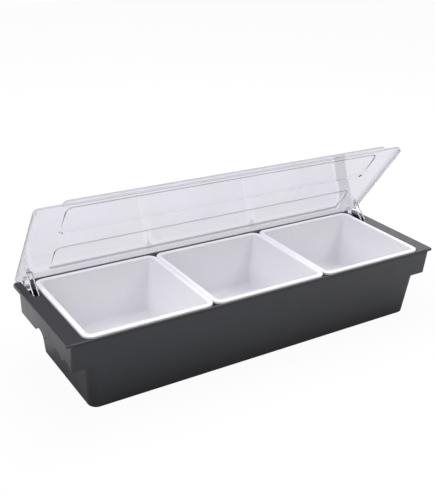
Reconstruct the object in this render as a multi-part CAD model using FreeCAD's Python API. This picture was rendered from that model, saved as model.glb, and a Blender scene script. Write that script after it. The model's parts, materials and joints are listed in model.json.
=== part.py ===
import FreeCAD, Part
import math
import os

# Bar condiment holder: a moulded base with finger-grip ends, three lift-out trays that hang by
# their rims, a clear lid on two hinge pins, and a wire stay at each end that props the lid open.
# Millimetres. X runs along the length, -Y is the front, +Z is up, and the origin is the middle of
# the underside. The lid stands open at the angle where the stays hold it.

Vec = FreeCAD.Vector
ORIGIN = Vec(0, 0, 0)
ALONG_X = Vec(1, 0, 0)
ALONG_Z = Vec(0, 0, 1)
SIDES = {"left": -1, "right": 1}

# Shared by all pieces
cut_overrun = 5.0
weld_overlap = 0.4
least_inside_corner = 0.5

# Trays: the row that they make sets the size of the base and the lid
tray_count = 3
tray_length = 152.4
tray_depth = 144.5
tray_height = 70.8
tray_gap = 0.4
tray_forward = 0.75
tray_wall = 2.2
tray_draft_deg = 5.0
tray_corner = 7.0
tray_foot_chamfer = 2.5
tray_clearance = 0.8
rim_height = 3.0
rim_width = 4.0
rim_chamfer = 0.8

# Deck: the flat top of the base, with a margin all round the row of trays and a shallow seat
# that their rims rest in
deck_end_margin = 21.0
deck_front_margin = 2.0
deck_rear_margin = 8.0
deck_thickness = 3.0
deck_front_corner = 2.0
deck_rear_corner = 6.0
deck_edge_chamfer = 0.6
seat_depth = 1.2
seat_gap = 0.9

# Tub: the deep drafted body under the deck, with room for ice below the trays
ice_room = 16.0
tub_end_margin = 1.0
tub_front_step = 0.3
tub_draft_deg = 5.0
tub_corner = 10.5
tub_foot_round = 2.5
tub_wall = 2.5
tub_floor = 3.0

# Handle ends: hollow skirts that carry the tub's long walls out past its ends
handle_inset = 5.7
handle_drop = 33.5
handle_draft_deg = 0.4
handle_corner = 4.0

# Finger grips: a row of scallops in the lower edge of each skirt
grip_count = 4
grip_pitch = 24.4
grip_land = 1.4
grip_rise = 6.0
grip_front_margin = 2.2

# Hinge: pin axis below the deck surface, under the rear edge of the tray rims
hinge_from_rim_edge = 1.0
hinge_below_deck = 4.0
pin_radius = 1.5
pin_inner_bite = 4.1
pin_outer_bite = 2.5
pin_press_clearance = 0.02
pin_running_clearance = 0.06
boss_wall = 2.3
boss_side_gap = 0.2

# Slot in each deck end, open to the rear: the lid's ear swings in it and the stay runs through it
slot_from_trays = 2.9
slot_width = 8.6
slot_room = 1.0
slot_corner = 2.0

# Lid
lid_open_deg = 55.6
lid_end_inset = 2.6
lid_front_setback = 8.4
lid_heel = 0.1
lid_sheet = 2.4
lid_front_corner = 6.0
lid_rear_corner = 4.0
lid_rest_gap = 0.3
flange_drop = 3.5
flange_wall = 2.4
flange_heel_gap = 6.0
lip_end_inset = 30.4
lip_reach = 6.0
lip_corner = 5.0
bead_width = 2.2
bead_height = 1.1
ear_ring_wall = 3.4
ear_inner_gap = 0.7
ear_outer_gap = 1.7
ear_arm_reach = 10.0
ear_room = 0.7

# Embossed panels that stiffen the lid: one near its lip and one near its hinge
panel_rise = 1.6
panel_flank_deg = 45.0
front_panel_from_lip = 6.8
front_panel_depth = 47.0
front_panel_inset = 35.4
rear_panel_from_hinge = 13.4
rear_panel_depth = 42.0
rear_panel_inset = 37.4
panel_front_corner = 9.0
panel_rear_corner = 5.0

# Wire stays
stay_wire_radius = 0.7
stay_side_gap = 0.65
stay_end_gap = 0.4
stay_foot = 4.0
stay_foot_gap = 0.6
stay_lean_deg = 44.4
stay_from_hinge_edge = 24.3
stay_below_lid = 3.3
lug_thickness = 2.2
lug_wall = 1.35
lug_clearance = 0.05

# Slopes of the drafted walls
tub_slope = math.tan(math.radians(tub_draft_deg))
handle_slope = math.tan(math.radians(handle_draft_deg))
tray_slope = math.tan(math.radians(tray_draft_deg))

# Heights
tray_bottom = tub_floor + ice_room
rim_top = tray_bottom + tray_height
seat_z = rim_top - rim_height
deck_height = seat_z + seat_depth
deck_underside = deck_height - deck_thickness
skirt_bottom = deck_height - handle_drop
hinge_z = deck_height - hinge_below_deck
lid_underside = deck_height + lid_rest_gap + flange_drop
lid_top = lid_underside + lid_sheet

# Places along the length
row_length = tray_count * tray_length + (tray_count - 1) * tray_gap
row_end = row_length / 2
deck_end = row_end + deck_end_margin
tub_end = row_end + tub_end_margin
handle_end = deck_end - handle_inset
lid_end = deck_end - lid_end_inset
lip_end = lid_end - lip_end_inset
slot_inner = row_end + slot_from_trays
slot_outer = slot_inner + slot_width
slot_middle = (slot_inner + slot_outer) / 2
pin_inner_end = slot_inner - pin_inner_bite
pin_outer_end = slot_outer + pin_outer_bite
stay_leg_reach = slot_width / 2 - stay_side_gap - stay_wire_radius

# Places from front to rear
tray_front = -tray_depth / 2 - tray_forward
tray_rear = tray_depth / 2 - tray_forward
deck_front = tray_front - deck_front_margin
deck_rear = tray_rear + deck_rear_margin
tub_side = tub_front_step - deck_front
hinge_y = tray_rear - hinge_from_rim_edge
lid_rear = hinge_y + lid_heel
lid_front = deck_front + lid_front_setback
stay_pivot_closed = Vec(0, lid_rear - stay_from_hinge_edge, lid_underside - stay_below_lid)

# Round sizes that follow from a bore and its wall
boss_radius = pin_radius + boss_wall
ear_ring = pin_radius + pin_running_clearance + ear_ring_wall
lug_radius = stay_wire_radius + lug_clearance + lug_wall


def opened(point):
    """Place of a closed lid's point once the lid stands open."""
    turn = math.radians(-lid_open_deg)
    y = point.y - hinge_y
    z = point.z - hinge_z
    y_open = y * math.cos(turn) - z * math.sin(turn)
    z_open = y * math.sin(turn) + z * math.cos(turn)
    return Vec(point.x, hinge_y + y_open, hinge_z + z_open)


def box(x_low, x_high, y_low, y_high, z_low, z_high):
    """Block between two corners."""
    corner = Vec(x_low, y_low, z_low)
    return Part.makeBox(x_high - x_low, y_high - y_low, z_high - z_low, corner)


def rod_along_x(x_low, x_high, y, z, radius):
    """Cylinder along X between two places."""
    return Part.makeCylinder(radius, x_high - x_low, Vec(x_low, y, z), ALONG_X)


def rounded_outline(x_low, x_high, y_low, y_high, z, front_radius, rear_radius):
    """Closed outline of a rectangle whose front and rear corners are rounded."""
    corners = [
        (Vec(x_low, y_low, z), front_radius),
        (Vec(x_high, y_low, z), front_radius),
        (Vec(x_high, y_high, z), rear_radius),
        (Vec(x_low, y_high, z), rear_radius),
    ]
    edges = []
    ends = []
    for place, (corner, radius) in enumerate(corners):
        before = (corners[place - 1][0] - corner).normalize()
        after = (corners[(place + 1) % len(corners)][0] - corner).normalize()
        start = corner + before * radius
        end = corner + after * radius
        centre = start + after * radius
        middle = centre + (corner - centre).normalize() * radius
        edges.append(Part.Arc(start, middle, end).toShape())
        ends.append((start, end))
    for place, (start, end) in enumerate(ends):
        following = ends[(place + 1) % len(ends)][0]
        edges.append(Part.LineSegment(end, following).toShape())
    return Part.Wire(Part.__sortEdges__(edges))


def plate(x_low, x_high, y_low, y_high, z_low, z_high, front_radius, rear_radius):
    """Flat plate with rounded front and rear corners."""
    outline = rounded_outline(x_low, x_high, y_low, y_high, z_low, front_radius, rear_radius)
    return Part.Face(outline).extrude(ALONG_Z * (z_high - z_low))


def frustum(low_half, high_half, middle, z_low, z_high):
    """Block with leaning walls, from its half sizes (x, y) at the bottom and at the top."""
    signs = [(-1, -1), (1, -1), (1, 1), (-1, 1)]
    low = [Vec(middle.x + sx * low_half[0], middle.y + sy * low_half[1], z_low) for sx, sy in signs]
    high = [Vec(middle.x + sx * high_half[0], middle.y + sy * high_half[1], z_high) for sx, sy in signs]
    rings = [low[::-1], high]
    for place in range(len(signs)):
        following = (place + 1) % len(signs)
        rings.append([low[place], low[following], high[following], high[place]])
    shell = Part.makeShell([Part.Face(Part.makePolygon(ring + ring[:1])) for ring in rings])
    shell.sewShape()
    return Part.makeSolid(shell)


def standing_edges(shape):
    """Edges that climb from the bottom of a shape to its top."""
    height = shape.BoundBox.ZLength
    return [edge for edge in shape.Edges if edge.BoundBox.ZLength > height / 2]


def level_edges(shape, z):
    """Edges that lie at one height."""
    tolerance = weld_overlap / 10
    return [
        edge
        for edge in shape.Edges
        if abs(edge.BoundBox.ZMin - z) < tolerance and abs(edge.BoundBox.ZMax - z) < tolerance
    ]


def inside_corner(corner, wall):
    """Radius inside a wall whose outside is rounded."""
    return max(corner - wall, least_inside_corner)


def drafted_block(half_at_zero, slopes, middle, z_low, z_high):
    """Leaning-walled block with sharp corners.

    The half sizes are those that the walls would have at height zero, so blocks that share them
    and their slopes have walls in the same planes.
    """
    low_half = [half + slope * z_low for half, slope in zip(half_at_zero, slopes)]
    high_half = [half + slope * z_high for half, slope in zip(half_at_zero, slopes)]
    return frustum(low_half, high_half, middle, z_low, z_high)


def tub_block(inset, z_low, z_high, corner):
    """Tub's body, or its hollow when it is set in by a wall."""
    lean = tub_slope * deck_underside
    half = (tub_end - lean - inset, tub_side - lean - inset)
    block = drafted_block(half, (tub_slope, tub_slope), ORIGIN, z_low, z_high)
    return block.makeFillet(corner, standing_edges(block))


def handle_block(inset, z_low, z_high, corner):
    """Both handle ends as one block whose long walls are the tub's long walls carried on."""
    end_at_zero = handle_end - handle_slope * skirt_bottom
    side_at_zero = tub_side - tub_slope * deck_underside
    half = (end_at_zero - inset, side_at_zero - inset)
    block = drafted_block(half, (handle_slope, tub_slope), ORIGIN, z_low, z_high)
    return block.makeFillet(corner, standing_edges(block))


def deck_plate():
    """Flat deck with its upper edge softened."""
    deck = plate(
        -deck_end,
        deck_end,
        deck_front,
        deck_rear,
        deck_underside,
        deck_height,
        deck_front_corner,
        deck_rear_corner,
    )
    return deck.makeChamfer(deck_edge_chamfer, level_edges(deck, deck_height))


def row_cut(margin, corner, z_low):
    """Cut through the top of the deck that follows the row of trays with a margin."""
    return plate(
        -row_end - margin,
        row_end + margin,
        tray_front - margin,
        tray_rear + margin,
        z_low,
        deck_height + cut_overrun,
        corner,
        corner,
    )


def tray_cuts():
    """Opening that the trays hang through, and the shallow seat of their rims."""
    ledge = rim_width - tray_clearance
    opening = row_cut(-ledge, tray_corner + tray_clearance, deck_underside - cut_overrun)
    seat = row_cut(seat_gap, tray_corner + rim_width + seat_gap, seat_z)
    return [opening, seat]


def finger_grips(side):
    """Row of round cuts for the scallops under one skirt."""
    half_chord = (grip_pitch - grip_land) / 2
    radius = (half_chord ** 2 + grip_rise ** 2) / (2 * grip_rise)
    centre_z = skirt_bottom + grip_rise - radius
    skirt_front = tub_slope * (deck_underside - skirt_bottom) - tub_side
    row_front = skirt_front + grip_front_margin
    ends = sorted([side * (handle_end - tub_wall - cut_overrun / 2), side * deck_end])
    cuts = []
    for finger in range(grip_count):
        centre_y = row_front + (2 * finger + 1) * grip_pitch / 2
        cuts.append(rod_along_x(ends[0], ends[1], centre_y, centre_z, radius))
    return cuts


def stay_foot_corner():
    """Place where a stay's leg bends into its foot, just under the deck."""
    pivot = opened(stay_pivot_closed)
    foot_z = deck_underside - stay_foot_gap - stay_wire_radius
    foot_y = pivot.y - (pivot.z - foot_z) / math.tan(math.radians(stay_lean_deg))
    return Vec(0, foot_y, foot_z)


def slot_front():
    """Front end of a slot, a little ahead of the leg that leans through it."""
    lean = math.radians(stay_lean_deg)
    foot = stay_foot_corner()
    leg_at_underside = foot.y + (deck_underside - foot.z) / math.tan(lean)
    return leg_at_underside - stay_wire_radius / math.sin(lean) - slot_room


def hinge_slot(side):
    """Slot through the deck for one ear and one stay, with the notch in the rear wall behind it."""
    ends = sorted([side * slot_inner, side * slot_outer])
    behind = deck_rear + cut_overrun
    above = deck_height + cut_overrun
    slot = plate(
        ends[0], ends[1], slot_front(), behind, deck_underside - cut_overrun, above, slot_corner, slot_corner
    )
    notch = box(ends[0], ends[1], hinge_y, behind, hinge_z - ear_ring - ear_room, above)
    return [slot, notch]


def hinge_bosses(side):
    """Bosses on both sides of one slot that hold the pin's ends."""
    inner = sorted([side * (pin_inner_end - tub_wall), side * (slot_inner - boss_side_gap)])
    outer = sorted([side * (slot_outer + boss_side_gap), side * (handle_end - tub_wall / 2)])
    return [rod_along_x(low, high, hinge_y, hinge_z, boss_radius) for low, high in (inner, outer)]


def pin_bore(side):
    """Bore that one hinge pin is pressed into, blind at its outer end."""
    ends = sorted([side * (pin_inner_end - cut_overrun), side * (pin_outer_end + pin_press_clearance)])
    return rod_along_x(ends[0], ends[1], hinge_y, hinge_z, pin_radius + pin_press_clearance)


def base():
    """Moulded base: tub, handle ends and deck in one piece."""
    tub = tub_block(0, 0, deck_underside, tub_corner)
    tub = tub.makeFillet(tub_foot_round, level_edges(tub, 0))
    handles = handle_block(0, skirt_bottom, deck_underside, handle_corner)
    inner_tub_corner = inside_corner(tub_corner, tub_wall)
    hollow = tub_block(tub_wall, tub_floor, deck_underside, inner_tub_corner)
    inner_handle_corner = inside_corner(handle_corner, tub_wall)
    under_deck = handle_block(tub_wall, skirt_bottom - cut_overrun, deck_underside, inner_handle_corner)
    body = tub.fuse([handles, deck_plate()]).cut(under_deck.cut(tub))
    body = body.fuse([boss for side in SIDES.values() for boss in hinge_bosses(side)])
    cuts = [hollow] + tray_cuts()
    for side in SIDES.values():
        cuts += finger_grips(side)
        cuts += hinge_slot(side)
        cuts.append(pin_bore(side))
    return body.cut(cuts).removeSplitter()


def tray(middle_x):
    """One lift-out tray: a leaning-walled bin with a flat rim."""
    middle = Vec(middle_x, -tray_forward, 0)
    slopes = (tray_slope, tray_slope)
    lean = tray_slope * seat_z
    outside = (tray_length / 2 - rim_width - lean, tray_depth / 2 - rim_width - lean)
    inside = (outside[0] - tray_wall, outside[1] - tray_wall)
    bin_block = drafted_block(outside, slopes, middle, tray_bottom, seat_z)
    bin_block = bin_block.makeFillet(tray_corner, standing_edges(bin_block))
    bin_block = bin_block.makeChamfer(tray_foot_chamfer, level_edges(bin_block, tray_bottom))
    rim_corner = tray_corner + rim_width
    rim = plate(
        middle.x - tray_length / 2,
        middle.x + tray_length / 2,
        tray_front,
        tray_rear,
        seat_z,
        rim_top,
        rim_corner,
        rim_corner,
    )
    rim = rim.makeChamfer(rim_chamfer, level_edges(rim, rim_top))
    floor = tray_bottom + tray_wall
    hollow = drafted_block(inside, slopes, middle, floor, rim_top + cut_overrun)
    inner_round = inside_corner(tray_corner, tray_wall)
    hollow = hollow.makeFillet(inner_round, standing_edges(hollow) + level_edges(hollow, floor))
    return bin_block.fuse(rim).cut(hollow).removeSplitter()


def lid_panel_pair(x_end, y_low, y_high):
    """Raised panel on the lid's upper side and the matching hollow on its underside."""
    flank = math.radians(panel_flank_deg)
    flank_run = panel_rise / math.tan(flank)
    hollow_inset = lid_sheet * math.tan(flank / 2)

    def block(inset, z_low):
        rings = []
        for edge, z in ((inset, z_low), (inset + flank_run, z_low + panel_rise)):
            front_corner = inside_corner(panel_front_corner, edge)
            rear_corner = inside_corner(panel_rear_corner, edge)
            ring = rounded_outline(
                edge - x_end, x_end - edge, y_low + edge, y_high - edge, z, front_corner, rear_corner
            )
            rings.append(ring)
        return Part.makeLoft(rings, True, True)

    return block(0, lid_top), block(hollow_inset, lid_underside)


def lid_ear(side):
    """Ear that drops from the lid's rear edge into the slot and carries the pin's bore."""
    low, high = sorted([side * (slot_inner + ear_inner_gap), side * (slot_outer - ear_outer_gap)])
    top = lid_underside + weld_overlap
    points = [
        Vec(low, hinge_y - ear_ring, hinge_z),
        Vec(low, lid_rear - ear_arm_reach, top),
        Vec(low, lid_rear, top),
        Vec(low, hinge_y + ear_ring, hinge_z),
    ]
    arm = Part.Face(Part.makePolygon(points + points[:1])).extrude(ALONG_X * (high - low))
    ring = rod_along_x(low, high, hinge_y, hinge_z, ear_ring)
    bore_radius = pin_radius + pin_running_clearance
    bore = rod_along_x(low - cut_overrun, high + cut_overrun, hinge_y, hinge_z, bore_radius)
    return arm.fuse(ring).cut(bore)


def lid_lug(side):
    """Small lug under the lid that the ends of one stay hook into."""
    middle = side * slot_middle
    low = middle - lug_thickness / 2
    high = middle + lug_thickness / 2
    pivot = stay_pivot_closed
    top = lid_underside + weld_overlap
    stem = box(low, high, pivot.y - lug_radius, pivot.y + lug_radius, pivot.z, top)
    eye = rod_along_x(low, high, pivot.y, pivot.z, lug_radius)
    bore_radius = stay_wire_radius + lug_clearance
    bore = rod_along_x(low - cut_overrun, high + cut_overrun, pivot.y, pivot.z, bore_radius)
    return stem.fuse(eye).cut(bore)


def lid_flanges():
    """Low walls under both ends of the lid that rest over the deck."""
    low = lid_underside - flange_drop
    high = lid_underside + weld_overlap
    outline = plate(-lid_end, lid_end, lid_front, lid_rear, low, high, lid_front_corner, lid_rear_corner)
    inner = lid_end - flange_wall
    between = box(
        -inner, inner, lid_front - cut_overrun, lid_rear + cut_overrun, low - cut_overrun, high + cut_overrun
    )
    heel = box(
        -deck_end, deck_end, lid_rear - flange_heel_gap, deck_rear, low - cut_overrun, high + cut_overrun
    )
    return outline.cut([between, heel])


def lid():
    """Clear lid, built closed and then turned open about the hinge pins."""
    sheet = plate(
        -lid_end, lid_end, lid_front, lid_rear, lid_underside, lid_top, lid_front_corner, lid_rear_corner
    )
    lip = plate(
        -lip_end,
        lip_end,
        lid_front - lip_reach,
        lid_front + lip_corner,
        lid_underside,
        lid_top,
        lip_corner,
        lip_corner / 2,
    )
    bead_top = lid_top + bead_height
    bead = box(-lip_end, lip_end, lid_front, lid_front + bead_width, lid_top - weld_overlap, bead_top)
    front_panel_y = lid_front + front_panel_from_lip
    front_up, front_hollow = lid_panel_pair(
        lid_end - front_panel_inset, front_panel_y, front_panel_y + front_panel_depth
    )
    rear_panel_y = lid_rear - rear_panel_from_hinge
    rear_up, rear_hollow = lid_panel_pair(
        lid_end - rear_panel_inset, rear_panel_y - rear_panel_depth, rear_panel_y
    )
    shell = sheet.fuse([lip, bead, lid_flanges(), front_up, rear_up]).cut([front_hollow, rear_hollow])
    fittings = [part for side in SIDES.values() for part in (lid_ear(side), lid_lug(side))]
    closed = shell.fuse(fittings).removeSplitter()
    closed.rotate(Vec(0, hinge_y, hinge_z), ALONG_X, -lid_open_deg)
    return closed


def hinge_pin(side):
    """Steel pin pressed in from inside the tub."""
    low, high = sorted([side * pin_inner_end, side * pin_outer_end])
    return rod_along_x(low, high, hinge_y, hinge_z, pin_radius)


def bent_wire(points, radius):
    """Round wire of straight runs with tight corners."""
    section = Part.Wire(Part.makeCircle(radius, points[0], points[1] - points[0]))
    mitred_corners = 1
    return Part.makePolygon(points).makePipeShell([section], True, False, mitred_corners)


def wire_stay(side):
    """Bail of steel wire: two ends in the lid's lug, two legs through the slot, and a bent foot."""
    middle = side * slot_middle
    pivot = opened(stay_pivot_closed)
    foot = stay_foot_corner()
    near = middle - stay_leg_reach
    far = middle + stay_leg_reach
    points = [
        Vec(middle - stay_end_gap / 2, pivot.y, pivot.z),
        Vec(near, pivot.y, pivot.z),
        Vec(near, foot.y, foot.z),
        Vec(near, foot.y - stay_foot, foot.z),
        Vec(far, foot.y - stay_foot, foot.z),
        Vec(far, foot.y, foot.z),
        Vec(far, pivot.y, pivot.z),
        Vec(middle + stay_end_gap / 2, pivot.y, pivot.z),
    ]
    return bent_wire(points, stay_wire_radius)


def tray_places():
    """Name and middle of each tray along the row."""
    names = ["left", "middle", "right"]
    pitch = tray_length + tray_gap
    return [(name, (place - (tray_count - 1) / 2) * pitch) for place, name in enumerate(names)]


def all_pieces():
    """Every piece by its name."""
    pieces = {"base_tub": base(), "clear_lid": lid()}
    for name, middle_x in tray_places():
        pieces["tray_" + name] = tray(middle_x)
    for name, side in SIDES.items():
        pieces["hinge_pin_" + name] = hinge_pin(side)
        pieces["wire_stay_" + name] = wire_stay(side)
    return pieces


os.makedirs("parts", exist_ok=True)
for node, shape in all_pieces().items():
    shape.exportStep(os.path.join("parts", node + ".step"))
    print(node, "valid" if shape.isValid() else "INVALID", len(shape.Solids), round(shape.Volume))
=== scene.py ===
"""Bar condiment holder: charcoal base, white trays, clear hinged lid, wire stays and hinge pins."""

import json
import logging
import math
from dataclasses import dataclass, field
from enum import Enum
from typing import Any, Optional, Union

import bmesh
import bpy
from mathutils import Matrix, Vector


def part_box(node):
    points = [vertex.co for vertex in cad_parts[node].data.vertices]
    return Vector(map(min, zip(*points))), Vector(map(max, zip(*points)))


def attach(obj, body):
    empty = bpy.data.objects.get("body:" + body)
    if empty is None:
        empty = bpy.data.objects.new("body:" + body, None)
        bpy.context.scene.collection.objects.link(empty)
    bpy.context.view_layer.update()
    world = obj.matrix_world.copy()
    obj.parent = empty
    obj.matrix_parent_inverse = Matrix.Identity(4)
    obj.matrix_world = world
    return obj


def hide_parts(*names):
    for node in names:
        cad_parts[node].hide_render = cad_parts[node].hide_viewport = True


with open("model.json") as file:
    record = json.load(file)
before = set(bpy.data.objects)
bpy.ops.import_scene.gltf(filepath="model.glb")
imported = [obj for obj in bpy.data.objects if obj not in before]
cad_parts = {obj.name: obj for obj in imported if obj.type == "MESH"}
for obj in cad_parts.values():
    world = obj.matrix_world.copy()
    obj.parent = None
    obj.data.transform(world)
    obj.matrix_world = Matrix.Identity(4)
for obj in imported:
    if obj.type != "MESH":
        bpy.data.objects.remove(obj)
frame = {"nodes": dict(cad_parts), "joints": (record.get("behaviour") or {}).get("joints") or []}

LOG = logging.getLogger("condiment_holder")

# Sockets of a Mix node that is set to colours
MIX_FACTOR = 0
MIX_FIRST = 6
MIX_SECOND = 7
MIX_RESULT = 2

UP = Vector((0.0, 0.0, 1.0))
# Face layer of marked edges: on the base it lightens them as rubbed wear and a painted highlight, on the
# lid it frosts worn edges.
WEAR_AND_HIGHLIGHT = "wear"

Colour = tuple[float, float, float]
Stretch = tuple[float, float, float]
Stops = tuple[tuple[float, float], ...]
Sockets = dict[Union[int, str], Any]
Operand = Union["Signal", float]


class Side(Enum):
    """End of the holder, with its sign along X."""

    LEFT = -1
    RIGHT = 1

    @property
    def word(self) -> str:
        """Name of the end as pieces and bodies spell it."""
        return self.name.lower()


class TrayPlace(Enum):
    """Place of a tray in the row, with the name of its node and body."""

    LEFT = "tray_left"
    MIDDLE = "tray_middle"
    RIGHT = "tray_right"


class Signal:
    """A socket's value that can stand in a Python expression."""

    def __init__(self, sheet: "NodeSheet", socket: bpy.types.NodeSocket) -> None:
        """Keep the sheet that owns the socket, and the socket."""
        self.sheet = sheet
        self.socket = socket

    def _math(self, operation: str, first: Operand, second: Operand) -> "Signal":
        """Add a Math node for two numbers.

        Args:
            operation: Math node's operation.
            first: left number.
            second: right number.

        Returns:
            The node's result.
        """
        return self.sheet.add("ShaderNodeMath", {"operation": operation}, {0: first, 1: second})

    def __add__(self, other: Operand) -> "Signal":
        """Sum of this value and another."""
        return self._math("ADD", self, other)

    def __radd__(self, other: Operand) -> "Signal":
        """Sum of a number and this value."""
        return self._math("ADD", other, self)

    def __sub__(self, other: Operand) -> "Signal":
        """This value less another."""
        return self._math("SUBTRACT", self, other)

    def __rsub__(self, other: Operand) -> "Signal":
        """A number less this value."""
        return self._math("SUBTRACT", other, self)

    def __mul__(self, other: Operand) -> "Signal":
        """Product of this value and another."""
        return self._math("MULTIPLY", self, other)

    def __rmul__(self, other: Operand) -> "Signal":
        """Product of a number and this value."""
        return self._math("MULTIPLY", other, self)

    def at_least(self, other: Operand) -> "Signal":
        """Greater of this value and another."""
        return self._math("MAXIMUM", self, other)


class NodeSheet:
    """Node tree that is filled node by node."""

    def __init__(self, tree: bpy.types.NodeTree) -> None:
        """Start on an emptied tree."""
        self.tree = tree
        self.tree.nodes.clear()

    def add(
        self,
        kind: str,
        settings: Optional[dict[str, Any]] = None,
        sockets: Optional[Sockets] = None,
        output: Union[int, str] = 0,
    ) -> Signal:
        """Add one node, set it up and feed its sockets.

        Args:
            kind: node's type.
            settings: node's own settings, with a ramp's stops under "stops".
            sockets: values or links of its input sockets.
            output: output socket to hand back.

        Returns:
            The chosen output.
        """
        node = self.tree.nodes.new(kind)
        for name, value in (settings or {}).items():
            if name == "stops":
                self._set_stops(node.color_ramp, value)
            else:
                setattr(node, name, value)
        for name, value in (sockets or {}).items():
            if isinstance(value, Signal):
                self.tree.links.new(value.socket, node.inputs[name])
            else:
                node.inputs[name].default_value = value
        outputs = node.outputs
        return Signal(self, outputs[output] if len(outputs) > 0 else None)

    @staticmethod
    def _set_stops(ramp: bpy.types.ColorRamp, stops: Stops) -> None:
        """Set a ramp to grey stops.

        Args:
            ramp: ramp with its two first elements.
            stops: place and grey level of each stop.
        """
        while len(ramp.elements) < len(stops):
            ramp.elements.new(1.0)
        for element, (place, grey) in zip(ramp.elements, stops):
            element.position = place
            element.color = (grey, grey, grey, 1.0)

    def place(self, stretch: Stretch = (1.0, 1.0, 1.0)) -> Signal:
        """Object coordinates, stretched along the axes.

        Args:
            stretch: factor along X, Y and Z.

        Returns:
            The coordinates.
        """
        coordinates = self.add("ShaderNodeTexCoord", output="Object")
        return self.add("ShaderNodeMapping", sockets={"Vector": coordinates, "Scale": stretch})

    def noise(self, place: Signal, scale: float, detail: float, roughness: float = 0.5) -> Signal:
        """Noise over a surface.

        Args:
            place: coordinates.
            scale: features per metre.
            detail: number of finer layers.
            roughness: strength of the finer layers.

        Returns:
            The noise, from 0 to 1.
        """
        sockets = {"Vector": place, "Scale": scale, "Detail": detail, "Roughness": roughness}
        return self.add("ShaderNodeTexNoise", sockets=sockets)

    def ramp(self, value: Signal, stops: Stops) -> Signal:
        """Value remapped by grey stops."""
        return self.add("ShaderNodeValToRGB", {"stops": stops}, {"Fac": value})

    def blend(
        self,
        factor: Operand,
        first: Union[Signal, Colour],
        second: Union[Signal, Colour],
    ) -> Signal:
        """Mix of two colours.

        Args:
            factor: share of the second colour.
            first: first colour.
            second: second colour.

        Returns:
            The mixed colour.
        """
        sockets = {MIX_FACTOR: factor, MIX_FIRST: opaque(first), MIX_SECOND: opaque(second)}
        return self.add("ShaderNodeMix", {"data_type": "RGBA"}, sockets, MIX_RESULT)

    def bump(
        self,
        height: Signal,
        strength: float,
        distance: float,
        below: Optional[Signal] = None,
    ) -> Signal:
        """Surface relief.

        Args:
            height: relief from 0 to 1.
            strength: strength of the effect.
            distance: depth of the relief in metres.
            below: relief that this one lies on.

        Returns:
            The turned normal.
        """
        sockets: Sockets = {"Height": height, "Strength": strength, "Distance": distance}
        if below is not None:
            sockets["Normal"] = below
        return self.add("ShaderNodeBump", sockets=sockets)

    def surface(self, sockets: Sockets) -> Signal:
        """Principled surface with these socket values and links."""
        return self.add("ShaderNodeBsdfPrincipled", sockets=sockets)

    def mix(self, factor: Operand, first: Signal, second: Signal) -> Signal:
        """Mix of two shaders, with the second one's share."""
        return self.add("ShaderNodeMixShader", sockets={0: factor, 1: first, 2: second})

    def show(self, shader: Signal, kind: str = "ShaderNodeOutputMaterial") -> None:
        """Link a shader to the tree's output."""
        self.add(kind, sockets={"Surface": shader})


def opaque(colour: Union[Signal, Colour]) -> Any:
    """Colour with its fourth part, or a link as it is."""
    return colour if isinstance(colour, Signal) else (*colour, 1.0)


def new_sheet(name: str) -> tuple[bpy.types.Material, NodeSheet]:
    """Make a material with an empty node sheet.

    Args:
        name: material's name.

    Returns:
        The material and its sheet.
    """
    material = bpy.data.materials.new(name)
    material.use_nodes = True
    return material, NodeSheet(material.node_tree)


@dataclass(frozen=True)
class MouldedCharcoal:
    """Charcoal plastic with a fine spark-eroded grain, and edges lightened as rubbed wear and a painted
    highlight.
    """

    slot: str = "base_plastic"
    dark: Colour = (0.007, 0.0072, 0.0095)
    light: Colour = (0.011, 0.0113, 0.0145)
    # Lighter edge colour: partly rubbed wear, partly a painted highlight line along the edges.
    rubbed_and_highlight: Colour = (0.16, 0.16, 0.17)
    rubbed_and_highlight_share: float = 0.7
    rubbed_and_highlight_even_share: float = 0.4
    rubbed_and_highlight_patchy_share: float = 0.6
    rubbed_polish: float = 0.1
    roughness_low: float = 0.3
    roughness_spread: float = 0.14
    specular: float = 0.56
    sheen: Colour = (0.9, 0.92, 1.0)
    cloud_scale: float = 14.0
    cloud_detail: float = 3.0
    cloud_share: float = 0.7
    smudge_scale: float = 42.0
    smudge_detail: float = 4.0
    smudge_stops: Stops = ((0.35, 0.0), (0.7, 1.0))
    smudge_dull_share: float = 0.6
    grain_scale: float = 1700.0
    grain_detail: float = 1.0
    grain_share: float = 0.3
    grain_dull_share: float = 0.4
    grain_depth: float = 0.00006
    grain_strength: float = 0.22
    sink_scale: float = 9.0
    sink_detail: float = 0.0
    sink_depth: float = 0.0006
    sink_strength: float = 0.10

    def make(self) -> bpy.types.Material:
        """Build the material.

        Returns:
            The material.
        """
        material, sheet = new_sheet("moulded_charcoal")
        place = sheet.place()
        clouds = sheet.noise(place, self.cloud_scale, self.cloud_detail)
        grain = sheet.noise(place, self.grain_scale, self.grain_detail)
        smudging = sheet.noise(place, self.smudge_scale, self.smudge_detail)
        smudges = sheet.ramp(smudging, self.smudge_stops)
        # The edge layer lightens the colour: partly rubbed wear, partly a painted highlight along the
        # edges.
        wear = sheet.add("ShaderNodeAttribute", {"attribute_name": WEAR_AND_HIGHLIGHT}, output="Fac")
        rubbing_and_highlight = wear * self.rubbed_and_highlight_share * (self.rubbed_and_highlight_even_share + self.rubbed_and_highlight_patchy_share * smudges)
        body = sheet.blend(self.cloud_share * clouds + self.grain_share * grain, self.dark, self.light)
        colour = sheet.blend(rubbing_and_highlight, body, self.rubbed_and_highlight)
        dullness = self.smudge_dull_share * smudges + self.grain_dull_share * grain
        roughness = self.roughness_low + self.roughness_spread * dullness
        sinking = sheet.noise(place, self.sink_scale, self.sink_detail)
        sinks = sheet.bump(sinking, self.sink_strength, self.sink_depth)
        relief = sheet.bump(grain, self.grain_strength, self.grain_depth, sinks)
        shader = sheet.surface(
            {
                "Base Color": colour,
                "Roughness": roughness - self.rubbed_polish * rubbing_and_highlight,
                "Specular IOR Level": self.specular,
                "Specular Tint": opaque(self.sheen),
                "Normal": relief,
            }
        )
        sheet.show(shader)
        return material


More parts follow.
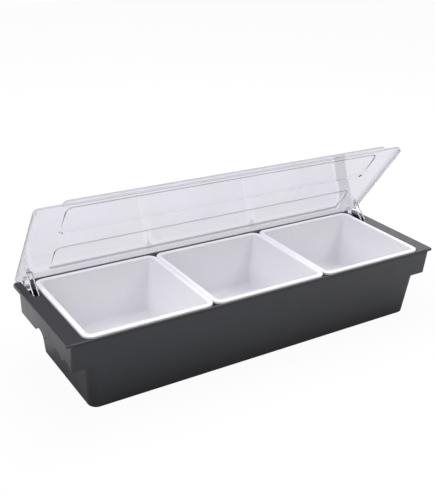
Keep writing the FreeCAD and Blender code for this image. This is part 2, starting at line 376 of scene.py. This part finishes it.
@dataclass(frozen=True)
class TrayWhite:
    """Glossy white tray plastic with faint mould flow and wash marks."""

    slot: str = "tray_plastic"
    clean: Colour = (0.86, 0.86, 0.875)
    dull: Colour = (0.81, 0.81, 0.83)
    roughness_low: float = 0.32
    roughness_spread: float = 0.14
    flow_stretch: Stretch = (1.0, 1.0, 0.3)
    flow_scale: float = 22.0
    flow_detail: float = 3.0
    flow_share: float = 0.55
    mark_scale: float = 160.0
    mark_detail: float = 4.0
    mark_roughness: float = 0.65
    mark_stops: Stops = ((0.45, 0.0), (0.75, 1.0))
    mark_share: float = 0.35
    peel_scale: float = 420.0
    peel_detail: float = 1.0
    peel_depth: float = 0.00008
    peel_strength: float = 0.12

    def make(self) -> bpy.types.Material:
        """Build the material.

        Returns:
            The material.
        """
        material, sheet = new_sheet("tray_white")
        place = sheet.place()
        flow = sheet.noise(sheet.place(self.flow_stretch), self.flow_scale, self.flow_detail)
        marking = sheet.noise(place, self.mark_scale, self.mark_detail, self.mark_roughness)
        marks = sheet.ramp(marking, self.mark_stops)
        dullness = self.flow_share * flow + self.mark_share * marks
        peel = sheet.noise(place, self.peel_scale, self.peel_detail)
        shader = sheet.surface(
            {
                "Base Color": sheet.blend(dullness, self.clean, self.dull),
                "Roughness": self.roughness_low + self.roughness_spread * dullness,
                "Normal": sheet.bump(peel, self.peel_strength, self.peel_depth),
            }
        )
        sheet.show(shader)
        return material


@dataclass(frozen=True)
class ClearSheet:
    """Clear moulded plastic with a faint lilac tint, hairline scratches and milky worn edges."""

    slot: str = "lid_clear"
    clear: Colour = (0.79, 0.775, 0.83)
    hazed: Colour = (0.755, 0.74, 0.8)
    index: float = 1.49
    roughness_low: float = 0.015
    roughness_spread: float = 0.04
    haze_scale: float = 18.0
    haze_detail: float = 3.0
    haze_share: float = 0.3
    scratch_scale: float = 300.0
    scratch_stretch: Stretch = (0.04, 1.0, 1.0)
    scratch_detail: float = 2.0
    scratch_stops: Stops = ((0.62, 0.0), (0.72, 1.0))
    scratch_share: float = 0.5
    frosted: Colour = (0.68, 0.66, 0.7)
    frosted_share: float = 0.95
    through_share: float = 0.4
    wave_scale: float = 26.0
    wave_detail: float = 1.0
    wave_depth: float = 0.0004
    wave_strength: float = 0.05

    def make(self) -> bpy.types.Material:
        """Build the material.

        Returns:
            The material.
        """
        material, sheet = new_sheet("clear_sheet")
        place = sheet.place()
        haze = sheet.noise(place, self.haze_scale, self.haze_detail)
        hairs = sheet.noise(sheet.place(self.scratch_stretch), self.scratch_scale, self.scratch_detail)
        scratches = sheet.ramp(hairs, self.scratch_stops)
        waves = sheet.noise(place, self.wave_scale, self.wave_detail)
        wear = sheet.add("ShaderNodeAttribute", {"attribute_name": WEAR_AND_HIGHLIGHT}, output="Fac")
        tint = sheet.blend(haze, self.clear, self.hazed)
        dullness = self.haze_share * haze + self.scratch_share * scratches
        roughness = self.roughness_low + self.roughness_spread * dullness
        shader = sheet.surface(
            {
                "Base Color": tint,
                "Roughness": roughness,
                "IOR": self.index,
                "Transmission Weight": 1.0,
                "Normal": sheet.bump(waves, self.wave_strength, self.wave_depth),
            }
        )
        front = sheet.add("ShaderNodeBsdfDiffuse", sockets={"Color": opaque(self.frosted)})
        through = sheet.add("ShaderNodeBsdfTranslucent", sockets={"Color": opaque(self.frosted)})
        milky = sheet.mix(self.through_share, front, through)
        edged = sheet.mix(self.frosted_share * wear, shader, milky)
        passing = sheet.add("ShaderNodeBsdfTransparent", sockets={"Color": opaque(self.clear)})
        shadow = sheet.add("ShaderNodeLightPath", output="Is Shadow Ray")
        spread = sheet.add("ShaderNodeLightPath", output="Is Diffuse Ray")
        sheet.show(sheet.mix(shadow.at_least(spread), edged, passing))
        return material


@dataclass(frozen=True)
class BrightSteel:
    """Bright drawn steel wire with fine lines and a few dull spots."""

    slot: str = "steel"
    bright: Colour = (0.55, 0.55, 0.57)
    dull: Colour = (0.36, 0.36, 0.38)
    roughness_low: float = 0.12
    roughness_spread: float = 0.22
    line_scale: float = 2600.0
    line_detail: float = 2.0
    line_share: float = 0.3
    spot_scale: float = 240.0
    spot_detail: float = 3.0
    spot_stops: Stops = ((0.5, 0.0), (0.75, 1.0))
    spot_share: float = 0.7
    line_depth: float = 0.00002
    line_strength: float = 0.25

    def make(self) -> bpy.types.Material:
        """Build the material.

        Returns:
            The material.
        """
        material, sheet = new_sheet("bright_steel")
        place = sheet.place()
        lines = sheet.noise(place, self.line_scale, self.line_detail)
        spots = sheet.ramp(sheet.noise(place, self.spot_scale, self.spot_detail), self.spot_stops)
        dullness = self.spot_share * spots + self.line_share * lines
        shader = sheet.surface(
            {
                "Base Color": sheet.blend(dullness, self.bright, self.dull),
                "Metallic": 1.0,
                "Roughness": self.roughness_low + self.roughness_spread * dullness,
                "Normal": sheet.bump(lines, self.line_strength, self.line_depth),
            }
        )
        sheet.show(shader)
        return material


Finish = Union[MouldedCharcoal, TrayWhite, ClearSheet, BrightSteel]


@dataclass
class Workshop:
    """Turns finished meshes into dressed pieces that ride on the frame's bodies."""

    smooth_turn: float = math.radians(50.0)
    flat_weight: int = 100
    materials: dict[str, bpy.types.Material] = field(default_factory=dict)

    def material(self, finish: Finish) -> bpy.types.Material:
        """Material of a finish, made once.

        Args:
            finish: finish to look up.

        Returns:
            Its material.
        """
        if finish.slot not in self.materials:
            self.materials[finish.slot] = finish.make()
        return self.materials[finish.slot]

    def piece(
        self,
        name: str,
        shape: bmesh.types.BMesh,
        finish: Finish,
        body: str,
        node: str,
    ) -> bpy.types.Object:
        """Make an object of a mesh, dress it and set it on a body in place of a node.

        Args:
            name: piece's name.
            shape: its mesh, which is freed.
            finish: its finish.
            body: body that carries it.
            node: node that it stands for.

        Returns:
            The piece.
        """
        for face in shape.faces:
            face.smooth = True
        for edge in shape.edges:
            edge.smooth = len(edge.link_faces) == 2 and edge.calc_face_angle() < self.smooth_turn
        mesh = bpy.data.meshes.new(name)
        shape.to_mesh(mesh)
        shape.free()
        mesh.materials.append(self.material(finish))
        made = bpy.data.objects.new(name, mesh)
        bpy.context.scene.collection.objects.link(made)
        weighted = made.modifiers.new("flat_faces", "WEIGHTED_NORMAL")
        weighted.keep_sharp = True
        weighted.weight = self.flat_weight
        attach(made, body)
        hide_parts(node)
        LOG.info("%s: %d faces on %s", name, len(mesh.polygons), body)
        return made


@dataclass
class SoftEdges:
    """Softening of the hard edges of a moulded piece."""

    width: float
    segments: int = 2
    least_turn: float = math.radians(40.0)
    room: float = 2.3
    flat_turn: float = math.radians(0.3)
    merge_gap: float = 1e-6

    def copy_of(self, node: str) -> bmesh.types.BMesh:
        """Closed copy of a node's mesh with its flat faces joined.

        Args:
            node: node to copy.

        Returns:
            The copy.
        """
        shape = bmesh.new()
        shape.from_mesh(frame["nodes"][node].data)
        bmesh.ops.remove_doubles(shape, verts=shape.verts[:], dist=self.merge_gap)
        bmesh.ops.dissolve_limit(
            shape,
            angle_limit=self.flat_turn,
            verts=shape.verts[:],
            edges=shape.edges[:],
            delimit=set(),
        )
        return shape

    def is_hard(self, edge: bmesh.types.BMEdge) -> bool:
        """Whether two faces meet at an edge with a hard turn."""
        return len(edge.link_faces) == 2 and edge.calc_face_angle() > self.least_turn

    def has_room(self, edge: bmesh.types.BMEdge) -> bool:
        """Whether the edges round both ends of an edge are long enough to soften it."""
        beside = [other for vert in edge.verts for other in vert.link_edges]
        return min(other.calc_length() for other in beside) > self.room * self.width

    def soften(self, shape: bmesh.types.BMesh) -> None:
        """Bevel the hard edges that have room, and mark the new strips in the edge layer: rubbed wear and
        a painted highlight on the base, frosted wear on the lid.

        Args:
            shape: mesh to soften.
        """
        wear = shape.faces.layers.float.new(WEAR_AND_HIGHLIGHT)
        hard = [edge for edge in shape.edges if self.is_hard(edge) and self.has_room(edge)]
        made = bmesh.ops.bevel(
            shape,
            geom=hard,
            offset=self.width,
            offset_type="OFFSET",
            affect="EDGES",
            segments=self.segments,
            profile=0.5,
            material=-1,
            clamp_overlap=False,
        )
        for face in made["faces"]:
            face[wear] = 1.0


@dataclass
class BaseTub:
    """Moulded base: tub, deck and handle ends in one piece."""

    finish: MouldedCharcoal = field(default_factory=MouldedCharcoal)
    edges: SoftEdges = field(default_factory=lambda: SoftEdges(width=0.0003))
    chamfer: float = 0.0008
    chamfer_lean: tuple[float, float] = (0.3, 0.9)

    def paint_chamfer_highlight(self, shape: bmesh.types.BMesh) -> None:
        """Mark the chamfer round the deck's outline for the lighter edge colour, a painted highlight line
        along the deck's edge.

        Args:
            shape: base's mesh.
        """
        wear = shape.faces.layers.float[WEAR_AND_HIGHLIGHT]
        top = max(vert.co.z for vert in shape.verts)
        steep, flat = self.chamfer_lean
        for face in shape.faces:
            if steep < face.normal.z < flat and face.calc_center_median().z > top - self.chamfer:
                face[wear] = 1.0

    def build(self, shop: Workshop) -> bpy.types.Object:
        """Make the base.

        Args:
            shop: workshop that dresses it.

        Returns:
            The base.
        """
        shape = self.edges.copy_of("base_tub")
        self.edges.soften(shape)
        # Painted highlight line on the deck's chamfer.
        self.paint_chamfer_highlight(shape)
        return shop.piece("moulded_base", shape, self.finish, "base", "base_tub")


@dataclass
class ClearLid:
    """Clear lid with its embossed panels, lip, flanges, ears and lugs."""

    finish: ClearSheet = field(default_factory=ClearSheet)
    edges: SoftEdges = field(default_factory=lambda: SoftEdges(width=0.0004))
    square_limit: float = 0.3
    edge_width: float = 0.0027
    end_depth: float = 0.0005
    end_wear: float = 0.65
    flank_limits: tuple[float, float] = (0.55, 0.85)
    flank_wear: float = 0.9
    heel_zone: float = 0.025

    def build(self, shop: Workshop) -> bpy.types.Object:
        """Make the lid.

        Args:
            shop: workshop that dresses it.

        Returns:
            The lid.
        """
        shape = self.edges.copy_of("clear_lid")
        self.edges.soften(shape)
        self.frost_edges(shape)
        return shop.piece("lid_sheet", shape, self.finish, "lid", "clear_lid")

    def frost_edges(self, shape: bmesh.types.BMesh) -> None:
        """Mark cut edges, the outsides of the end flanges and the flank by the heel as worn.

        Args:
            shape: lid's mesh.
        """
        sheet_face = max(shape.faces, key=lambda face: face.calc_area())
        wear = shape.faces.layers.float[WEAR_AND_HIGHLIGHT]
        reach = max(vert.co.x for vert in shape.verts)
        heel_top = min(vert.co.z for vert in shape.verts) + self.heel_zone
        for face in shape.faces:
            middle = face.calc_center_median()
            length = max(edge.calc_length() for edge in face.edges)
            along = abs(face.normal.dot(sheet_face.normal))
            square = along < self.square_limit
            if square and face.calc_area() < self.edge_width * length:
                face[wear] = 1.0
            elif square and abs(middle.x) > reach - self.end_depth:
                face[wear] = self.end_wear
            elif self.flank_limits[0] < along < self.flank_limits[1] and middle.z < heel_top:
                face[wear] = self.flank_wear


@dataclass(frozen=True)
class Ring:
    """Level outline of a tray: distance in from the rim's edge, corner radius and height."""

    inward: float
    corner: float
    height: float


class RoundedWalk:
    """Shell that grows from a rounded outline by extruding it from ring to ring."""

    def __init__(self, low: Vector, high: Vector, start: Ring, segments: int) -> None:
        """Start with a flat rounded face.

        Args:
            low: lowest corner of the piece.
            high: highest corner of the piece.
            start: first ring.
            segments: facets of each corner.
        """
        self.centre = (low + high) / 2
        self.half = (high - low) / 2
        self.shape = bmesh.new()
        made = bmesh.ops.create_grid(self.shape, x_segments=1, y_segments=1, size=1.0)
        spread = (self.half.x - start.inward, self.half.y - start.inward, 1.0)
        bmesh.ops.scale(self.shape, vec=spread, verts=made["verts"])
        bmesh.ops.bevel(
            self.shape,
            geom=made["verts"],
            offset=start.corner,
            offset_type="OFFSET",
            affect="VERTICES",
            segments=segments,
            profile=0.5,
            material=-1,
        )
        place = Vector((self.centre.x, self.centre.y, start.height))
        bmesh.ops.translate(self.shape, vec=place, verts=self.shape.verts[:])
        self.shape.faces.ensure_lookup_table()
        self.first = self.shape.faces[0]

    def corner_place(self, ring: Ring, sign_x: int, sign_y: int) -> Vector:
        """Middle of one corner's arc on a ring.

        Args:
            ring: ring that has the corner.
            sign_x: side of the middle along X.
            sign_y: side of the middle along Y.

        Returns:
            The arc's middle.
        """
        reach = self.half - Vector((1.0, 1.0, 0.0)) * (ring.inward + ring.corner)
        middle_x = self.centre.x + sign_x * reach.x
        middle_y = self.centre.y + sign_y * reach.y
        return Vector((middle_x, middle_y, ring.height))

    def quarter(self, face: bmesh.types.BMFace, sign_x: int, sign_y: int) -> list[bmesh.types.BMVert]:
        """Points of a face in one quarter of the piece.

        Args:
            face: face on a ring.
            sign_x: side of the middle along X.
            sign_y: side of the middle along Y.

        Returns:
            The points.
        """
        offsets = [(vert, vert.co - self.centre) for vert in face.verts]
        return [vert for vert, off in offsets if off.x * sign_x > 0 and off.y * sign_y > 0]

    def grow(
        self,
        face: bmesh.types.BMFace,
        before: Ring,
        after: Ring,
        keep: bool,
    ) -> bmesh.types.BMFace:
        """Extrude a face from its ring to the next one.

        Args:
            face: face to extrude.
            before: ring that it lies on.
            after: ring that it goes to.
            keep: whether the face also stays on its ring.

        Returns:
            The face on the new ring.
        """
        grown = bmesh.ops.extrude_face_region(self.shape, geom=[face])["geom"]
        moved = next(part for part in grown if isinstance(part, bmesh.types.BMFace))
        if not keep:
            bmesh.ops.delete(self.shape, geom=[face], context="FACES_ONLY")
        ratio = after.corner / before.corner
        for sign_x in (-1, 1):
            for sign_y in (-1, 1):
                group = self.quarter(moved, sign_x, sign_y)
                old = self.corner_place(before, sign_x, sign_y)
                new = self.corner_place(after, sign_x, sign_y)
                about = Matrix.Translation(-old)
                bmesh.ops.scale(self.shape, vec=(ratio, ratio, 1.0), space=about, verts=group)
                bmesh.ops.translate(self.shape, vec=new - old, verts=group)
        return moved

    def walk(self, rings: list[Ring], keep_first: bool) -> None:
        """Grow the first face through a row of rings, of which it lies on the first.

        Args:
            rings: rings in order.
            keep_first: whether the first face also stays where it is.
        """
        face = self.first
        for before, after in zip(rings, rings[1:]):
            face = self.grow(face, before, after, keep_first and face is self.first)


@dataclass
class ServingTray:
    """Lift-out tray: a leaning-walled bin with a rounded rim."""

    place: TrayPlace
    finish: TrayWhite = field(default_factory=TrayWhite)
    rim_height: float = 0.003
    rim_width: float = 0.004
    rim_corner: float = 0.011
    rim_round: float = 0.001
    lip_round: float = 0.0012
    wall: float = 0.0022
    draft: float = math.radians(5.0)
    foot_round: float = 0.0025
    floor_round: float = 0.0042
    corner_segments: int = 10
    round_steps: int = 5
    seat: float = field(init=False, default=0.0)

    def lean(self, height: float) -> float:
        """How far a wall has leant in at a height."""
        return (self.seat - height) * math.tan(self.draft)

    def angles(self, start: float, end: float) -> list[float]:
        """Even angles along a round."""
        steps = self.round_steps
        return [start + (end - start) * step / steps for step in range(steps + 1)]

    def turn_to_floor(
        self,
        inward: float,
        corner: float,
        floor: float,
        radius: float,
    ) -> list[Ring]:
        """Rings of the round where a leaning wall meets a level floor.

        Args:
            inward: wall's distance in from the rim's edge at the seat's height.
            corner: wall's corner radius.
            floor: floor's height.
            radius: radius of the round.

        Returns:
            The rings from the wall to the floor.
        """
        contact = floor + radius * (1.0 - math.sin(self.draft))
        wall_in = inward + self.lean(contact)
        rings = []
        for angle in self.angles(self.draft, math.pi / 2):
            step_in = radius * (math.cos(self.draft) - math.cos(angle))
            height = floor + radius * (1.0 - math.sin(angle))
            rings.append(Ring(wall_in + step_in, corner - step_in, height))
        return rings

    def rim_rings(self, top: float) -> list[Ring]:
        """Rings up the outside of the rim, over its top and into the well.

        Args:
            top: height of the rim's top.

        Returns:
            The rings from the seat to the lip.
        """
        rings = [Ring(0.0, self.rim_corner, self.seat)]
        for angle in self.angles(0.0, math.pi / 2):
            step_in = self.rim_round * (1.0 - math.cos(angle))
            rise = top - self.rim_round * (1.0 - math.sin(angle))
            rings.append(Ring(step_in, self.rim_corner - step_in, rise))
        contact = top - self.lip_round * (1.0 - math.sin(self.draft))
        wall_in = self.rim_width + self.wall + self.lean(contact)
        middle = wall_in - self.lip_round * math.cos(self.draft)
        for angle in self.angles(math.pi / 2, math.pi - self.draft):
            inward = middle - self.lip_round * math.cos(angle)
            rise = top - self.lip_round * (1.0 - math.sin(angle))
            rings.append(Ring(inward, self.rim_corner - inward, rise))
        return rings

    def build(self, shop: Workshop) -> bpy.types.Object:
        """Make the tray.

        Args:
            shop: workshop that dresses it.

        Returns:
            The tray.
        """
        low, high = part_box(self.place.value)
        self.seat = high.z - self.rim_height
        rim = self.rim_rings(high.z)
        walk = RoundedWalk(low, high, rim[0], self.corner_segments)
        well_in = self.rim_width + self.wall
        well = self.turn_to_floor(well_in, rim[-1].corner, low.z + self.wall, self.floor_round)
        walk.walk(rim + well, keep_first=True)
        wall_corner = self.rim_corner - self.rim_width
        skirt = [rim[0], Ring(self.rim_width, wall_corner, self.seat)]
        foot = self.turn_to_floor(self.rim_width, wall_corner, low.z, self.foot_round)
        walk.walk(skirt + foot, keep_first=False)
        bmesh.ops.recalc_face_normals(walk.shape, faces=walk.shape.faces[:])
        name = "serving_" + self.place.value
        return shop.piece(name, walk.shape, self.finish, self.place.value, self.place.value)


@dataclass
class WireBender:
    """Round wire that is drawn along a path of straight runs and tight bends."""

    radius: float
    bend: float
    sides: int = 16
    bend_steps: int = 6
    end_round_share: float = 0.3
    end_segments: int = 2

    def draw(self, points: list[Vector]) -> bmesh.types.BMesh:
        """Draw the wire through its corner points.

        Args:
            points: corner points, ends included.

        Returns:
            The wire's mesh.
        """
        shape = bmesh.new()
        ways = [(end - start).normalized() for start, end in zip(points, points[1:])]
        facing = UP.rotation_difference(ways[0]).to_matrix().to_4x4()
        bmesh.ops.create_circle(
            shape,
            segments=self.sides,
            radius=self.radius,
            matrix=Matrix.Translation(points[0]) @ facing,
        )
        trims = [0.0]
        for before, after in zip(ways, ways[1:]):
            trims.append(self.bend * math.tan(before.angle(after) / 2))
        trims.append(0.0)
        tip = shape.edges[:]
        for place, way in enumerate(ways):
            run = (points[place + 1] - points[place]).length - trims[place] - trims[place + 1]
            tip = self.run(shape, tip, way * run)
            if place + 1 < len(ways):
                middle = points[place + 1] - way * trims[place + 1]
                tip = self.turn(shape, tip, middle, way, ways[place + 1])
        bmesh.ops.holes_fill(shape, edges=[edge for edge in shape.edges if edge.is_boundary])
        bmesh.ops.recalc_face_normals(shape, faces=shape.faces[:])
        caps = [face for face in shape.faces if len(face.verts) == self.sides]
        bmesh.ops.bevel(
            shape,
            geom=[edge for face in caps for edge in face.edges],
            offset=self.radius * self.end_round_share,
            offset_type="OFFSET",
            affect="EDGES",
            segments=self.end_segments,
            profile=0.5,
            material=-1,
        )
        return shape

    @staticmethod
    def run(
        shape: bmesh.types.BMesh,
        tip: list[bmesh.types.BMEdge],
        way: Vector,
    ) -> list[bmesh.types.BMEdge]:
        """Extrude the wire's tip along a straight run.

        Args:
            shape: wire's mesh.
            tip: edges round the wire's end.
            way: direction and length of the run.

        Returns:
            The edges round the wire's new end.
        """
        grown = bmesh.ops.extrude_edge_only(shape, edges=tip)["geom"]
        ends = [part for part in grown if isinstance(part, bmesh.types.BMVert)]
        bmesh.ops.translate(shape, vec=way, verts=ends)
        return [part for part in grown if isinstance(part, bmesh.types.BMEdge) and part.is_boundary]

    def turn(
        self,
        shape: bmesh.types.BMesh,
        tip: list[bmesh.types.BMEdge],
        middle: Vector,
        way: Vector,
        next_way: Vector,
    ) -> list[bmesh.types.BMEdge]:
        """Spin the wire's tip round a bend.

        Args:
            shape: wire's mesh.
            tip: edges round the wire's end.
            middle: middle of the wire's end.
            way: direction before the bend.
            next_way: direction after the bend.

        Returns:
            The edges round the wire's new end.
        """
        axis = way.cross(next_way).normalized()
        spun = bmesh.ops.spin(
            shape,
            geom=tip,
            cent=middle + axis.cross(way) * self.bend,
            axis=axis,
            angle=way.angle(next_way),
            steps=self.bend_steps,
            use_merge=False,
            use_duplicate=False,
        )
        return [part for part in spun["geom_last"] if isinstance(part, bmesh.types.BMEdge)]


@dataclass
class WireStay:
    """Bail of bright wire that props the lid open at one end."""

    side: Side
    finish: BrightSteel = field(default_factory=BrightSteel)
    wire_radius: float = 0.0007
    bend: float = 0.0014
    foot: float = 0.004
    end_gap: float = 0.0004

    def corner_points(self, node: str) -> list[Vector]:
        """Corner points of the wire's middle line.

        Args:
            node: node of this stay.

        Returns:
            The points from one end in the lug to the other.
        """
        low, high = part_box(node)
        joint = next(joint for joint in frame["joints"] if joint["child"] == self.body)
        pivot = Vector(joint["pos_m"])
        near, far = low.x + self.wire_radius, high.x - self.wire_radius
        toe_y, foot_z = low.y + self.wire_radius, low.z + self.wire_radius
        heel_y = toe_y + self.foot
        return [
            Vector((pivot.x - self.end_gap / 2, pivot.y, pivot.z)),
            Vector((near, pivot.y, pivot.z)),
            Vector((near, heel_y, foot_z)),
            Vector((near, toe_y, foot_z)),
            Vector((far, toe_y, foot_z)),
            Vector((far, heel_y, foot_z)),
            Vector((far, pivot.y, pivot.z)),
            Vector((pivot.x + self.end_gap / 2, pivot.y, pivot.z)),
        ]

    @property
    def body(self) -> str:
        """Body that carries this stay."""
        return "stay_" + self.side.word

    def build(self, shop: Workshop) -> bpy.types.Object:
        """Make the stay.

        Args:
            shop: workshop that dresses it.

        Returns:
            The stay.
        """
        node = "wire_stay_" + self.side.word
        bender = WireBender(radius=self.wire_radius, bend=self.bend)
        shape = bender.draw(self.corner_points(node))
        return shop.piece("bent_wire_" + self.side.word, shape, self.finish, self.body, node)


@dataclass
class HingePin:
    """Short steel pin that the lid's ear turns on."""

    side: Side
    finish: BrightSteel = field(default_factory=BrightSteel)
    sides: int = 32
    end_chamfer: float = 0.0003
    end_segments: int = 2

    def build(self, shop: Workshop) -> bpy.types.Object:
        """Make the pin.

        Args:
            shop: workshop that dresses it.

        Returns:
            The pin.
        """
        node = "hinge_pin_" + self.side.word
        low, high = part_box(node)
        size = high - low
        shape = bmesh.new()
        turned = Matrix.Translation((low + high) / 2) @ Matrix.Rotation(math.pi / 2, 4, "Y")
        bmesh.ops.create_cone(
            shape,
            cap_ends=True,
            segments=self.sides,
            radius1=size.z / 2,
            radius2=size.z / 2,
            depth=size.x,
            matrix=turned,
        )
        caps = [face for face in shape.faces if len(face.verts) == self.sides]
        bmesh.ops.bevel(
            shape,
            geom=[edge for face in caps for edge in face.edges],
            offset=self.end_chamfer,
            offset_type="OFFSET",
            affect="EDGES",
            segments=self.end_segments,
            profile=0.5,
            material=-1,
        )
        return shop.piece("pressed_pin_" + self.side.word, shape, self.finish, "base", node)


@dataclass(frozen=True)
class SoftBox:
    """Square studio lamp that looks at the holder."""

    name: str
    place: Vector
    size: float
    power: float

    def hang(self, target: Vector) -> None:
        """Hang the lamp and turn it to a target."""
        lamp = bpy.data.lights.new(self.name, "AREA")
        lamp.shape = "SQUARE"
        lamp.size = self.size
        lamp.energy = self.power
        hung = bpy.data.objects.new(self.name, lamp)
        hung.location = self.place
        hung.rotation_euler = (target - self.place).to_track_quat("-Z", "Y").to_euler()
        bpy.context.scene.collection.objects.link(hung)


@dataclass
class Studio:
    """Pale floor with a painted contact shadow round the holder's foot, soft lamps and a white surround.
    """

    floor_half: float = 3.0
    floor_colour: Colour = (0.9, 0.9, 0.9)
    floor_white_share: float = 0.95
    # Colour of the painted contact shadow on the floor at the holder's foot; the stops below set how far
    # out it fades.
    painted_contact_shadow: Colour = (0.5, 0.5, 0.5)
    floor_mirror_share: float = 0.65
    foot_half: tuple[float, float] = (0.235, 0.045)
    painted_shadow_stops: tuple[float, float] = (0.02, 0.15)
    ambient: float = 0.5
    mirror_low: float = 0.37
    mirror_high: float = 0.5
    mirror_dim: float = 0.0
    target: Vector = field(default_factory=lambda: Vector((0.0, 0.0, 0.06)))
    lamps: list[SoftBox] = field(
        default_factory=lambda: [
            SoftBox("left_lamp", Vector((-1.25, -0.15, 0.95)), 1.0, 10.0),
            SoftBox("top_lamp", Vector((0.25, 0.55, 1.55)), 1.4, 19.0),
            SoftBox("rear_lamp", Vector((1.05, 0.8, 0.55)), 0.6, 1.0),
            SoftBox("glint_lamp", Vector((0.75, -0.6, 1.15)), 0.35, 3.0),
        ]
    )

    @staticmethod
    def seen(sheet: NodeSheet, mirror_share: Operand = 1.0) -> Signal:
        """Mask of the rays that show the surround to the eye, a glass or a mirror.

        Args:
            sheet: sheet that gets the nodes.
            mirror_share: share that mirrors show.

        Returns:
            The mask, from 0 to 1.
        """
        camera = sheet.add("ShaderNodeLightPath", output="Is Camera Ray")
        mirror = sheet.add("ShaderNodeLightPath", output="Is Glossy Ray")
        glass = sheet.add("ShaderNodeLightPath", output="Is Transmission Ray")
        return camera.at_least(glass).at_least(mirror_share * mirror)

    def painted_openness(self, sheet: NodeSheet) -> Signal:
        """Painted shade on the floor: a share that falls off from 1 to 0 towards the holder's foot.

        Args:
            sheet: sheet that gets the nodes.

        Returns:
            The share, from 0 to 1.
        """
        place = sheet.place()
        along = sheet.add("ShaderNodeSeparateXYZ", sockets={"Vector": place}, output="X")
        across = sheet.add("ShaderNodeSeparateXYZ", sockets={"Vector": place}, output="Y")
        beside = along.at_least(-1.0 * along) - self.foot_half[0]
        before = across.at_least(-1.0 * across) - self.foot_half[1]
        near, far = self.painted_shadow_stops
        return sheet.ramp(beside.at_least(before), ((near, 0.0), (far, 1.0)))

    def floor(self) -> None:
        """Lay the pale floor, which keeps the holder's shadow and has a painted contact shadow near its
        foot, also in mirrors.
        """
        shape = bmesh.new()
        bmesh.ops.create_grid(shape, x_segments=1, y_segments=1, size=self.floor_half)
        mesh = bpy.data.meshes.new("pale_floor")
        shape.to_mesh(mesh)
        shape.free()
        material, sheet = new_sheet("pale_floor")
        painted_openness = self.painted_openness(sheet)
        # Painted contact shadow: the floor's colour darkens towards the holder's foot.
        painted_shadow_colour = sheet.blend(painted_openness, self.painted_contact_shadow, self.floor_colour)
        matte = sheet.add("ShaderNodeBsdfDiffuse", sockets={"Color": painted_shadow_colour})
        white = sheet.add("ShaderNodeEmission", sockets={"Strength": 1.0})
        # Painted shade in mirrors: the floor's white for glossy rays fades out towards the holder's foot.
        share = self.floor_white_share * self.seen(sheet, self.floor_mirror_share * painted_openness)
        sheet.show(sheet.mix(share, matte, white))
        mesh.materials.append(material)
        laid = bpy.data.objects.new("pale_floor", mesh)
        bpy.context.scene.collection.objects.link(laid)

    def surround(self) -> None:
        """Set the world where it is seen to white low down and dark overhead, and to a soft ambient light
        elsewhere.
        """
        world = bpy.data.worlds.new("surround")
        world.use_nodes = True
        sheet = NodeSheet(world.node_tree)
        way = sheet.add("ShaderNodeTexCoord", output="Generated")
        height = sheet.add("ShaderNodeSeparateXYZ", sockets={"Vector": way}, output="Z")
        white = sheet.ramp(height, ((self.mirror_low, 1.0), (self.mirror_high, self.mirror_dim)))
        seen = self.seen(sheet)
        strength = self.ambient * (1.0 - seen) + white * seen
        sockets = {"Color": opaque((1.0, 1.0, 1.0)), "Strength": strength}
        shader = sheet.add("ShaderNodeBackground", sockets=sockets)
        sheet.show(shader, "ShaderNodeOutputWorld")
        bpy.context.scene.world = world

    def build(self) -> None:
        """Set up the floor, the lamps and the surround."""
        self.floor()
        self.surround()
        for lamp in self.lamps:
            lamp.hang(self.target)
        bpy.context.scene.view_settings.view_transform = "Standard"


@dataclass
class PhotoCamera:
    """Camera at the photograph's viewing angle."""

    place: Vector = field(default_factory=lambda: Vector((-0.49086, -0.69631, 0.48960)))
    azimuth: float = math.radians(-33.473)
    elevation: float = math.radians(24.040)
    roll: float = math.radians(2.394)
    lens: float = 57.28
    sensor: float = 36.0

    def build(self) -> None:
        """Place the camera and make it the scene's camera."""
        level = math.cos(self.elevation)
        back_x = math.sin(self.azimuth) * level
        back_y = -math.cos(self.azimuth) * level
        back = Vector((back_x, back_y, math.sin(self.elevation)))
        right = UP.cross(back).normalized()
        upward = back.cross(right)
        turned = Matrix((right, upward, back)).transposed() @ Matrix.Rotation(self.roll, 3, "Z")
        data = bpy.data.cameras.new("photo_camera")
        data.lens = self.lens
        data.sensor_width = self.sensor
        data.dof.use_dof = False
        camera = bpy.data.objects.new("photo_camera", data)
        camera.matrix_world = Matrix.Translation(self.place) @ turned.to_4x4()
        bpy.context.scene.collection.objects.link(camera)
        bpy.context.scene.camera = camera


def main() -> None:
    """Build the holder, its studio and its camera."""
    logging.basicConfig(level=logging.INFO, format="%(name)s: %(message)s")
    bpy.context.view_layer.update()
    shop = Workshop()
    BaseTub().build(shop)
    for place in TrayPlace:
        ServingTray(place).build(shop)
    ClearLid().build(shop)
    for side in Side:
        WireStay(side).build(shop)
        HingePin(side).build(shop)
    Studio().build()
    PhotoCamera().build()


if __name__ == "__main__":
    main()
